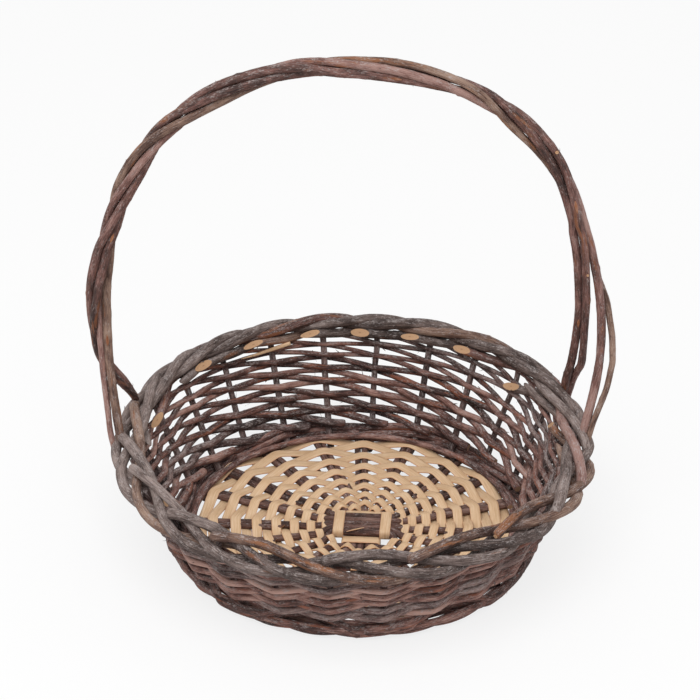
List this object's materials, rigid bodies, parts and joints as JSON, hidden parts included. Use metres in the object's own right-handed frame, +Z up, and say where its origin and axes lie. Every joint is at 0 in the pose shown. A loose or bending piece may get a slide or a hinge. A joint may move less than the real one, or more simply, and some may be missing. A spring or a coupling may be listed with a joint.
{
  "type": "wicker basket",
  "caption": "Round wicker basket with flared woven walls, a plaited border, a bamboo-woven base and an arched handle of twisted rods.",
  "frame": {"origin": "on the floor under the middle of the basket", "axes": "+Z up, the handle's arch runs along X, its feet set back towards +Y"},
  "size_m": [0.3564, 0.3274, 0.3457],
  "materials": {
    "bark": "matte brown bark on thin rods",
    "dark_bark": "matte dark brown bark on thin rods",
    "grey_bark": "matte grey-brown bark with pale dust",
    "red_bark": "matte reddish brown bark on thin rods",
    "bamboo": "satin split bamboo, pale tan"
  },
  "bodies": {
    "root": {"base_stick_01": "dark_bark", "base_stick_02": "dark_bark", "base_stick_03": "dark_bark", "base_stick_04": "dark_bark", "base_stick_05": "dark_bark", "base_stick_06": "dark_bark", "base_stick_07": "dark_bark", "base_stick_08": "dark_bark", "base_stick_09": "dark_bark", "base_stick_10": "dark_bark", "base_strip_1": "bamboo", "base_strip_2": "bamboo", "lashing_right": "bamboo", "lashing_rear": "bamboo", "lashing_left": "bamboo", "lashing_front": "bamboo", "stake_01": "grey_bark", "border_strand_02": "grey_bark", "stake_03": "grey_bark", "stake_04": "grey_bark", "stake_05": "grey_bark", "stake_06": "grey_bark", "stake_07": "grey_bark", "stake_08": "grey_bark", "stake_09": "grey_bark", "stake_10": "grey_bark", "border_strand_11": "grey_bark", "border_strand_12": "grey_bark", "stake_13": "grey_bark", "stake_14": "grey_bark", "stake_15": "grey_bark", "stake_16": "grey_bark", "stake_17": "grey_bark", "stake_18": "grey_bark", "stake_19": "grey_bark", "stake_20": "grey_bark", "stake_21": "grey_bark", "stake_22": "grey_bark", "stake_23": "grey_bark", "border_strand_24": "grey_bark", "foot_round": "bark", "wale_1": "bark", "wale_2": "bark", "weaver_01": "red_bark", "weaver_02": "dark_bark", "weaver_03": "red_bark", "weaver_04": "dark_bark", "weaver_05": "red_bark", "weaver_06": "dark_bark", "weaver_07": "red_bark", "weaver_08": "dark_bark", "handle_rod_1": "bark", "handle_rod_2": "red_bark", "handle_rod_3": "bark", "handle_rod_4": "red_bark"}
  },
  "joints": []
}
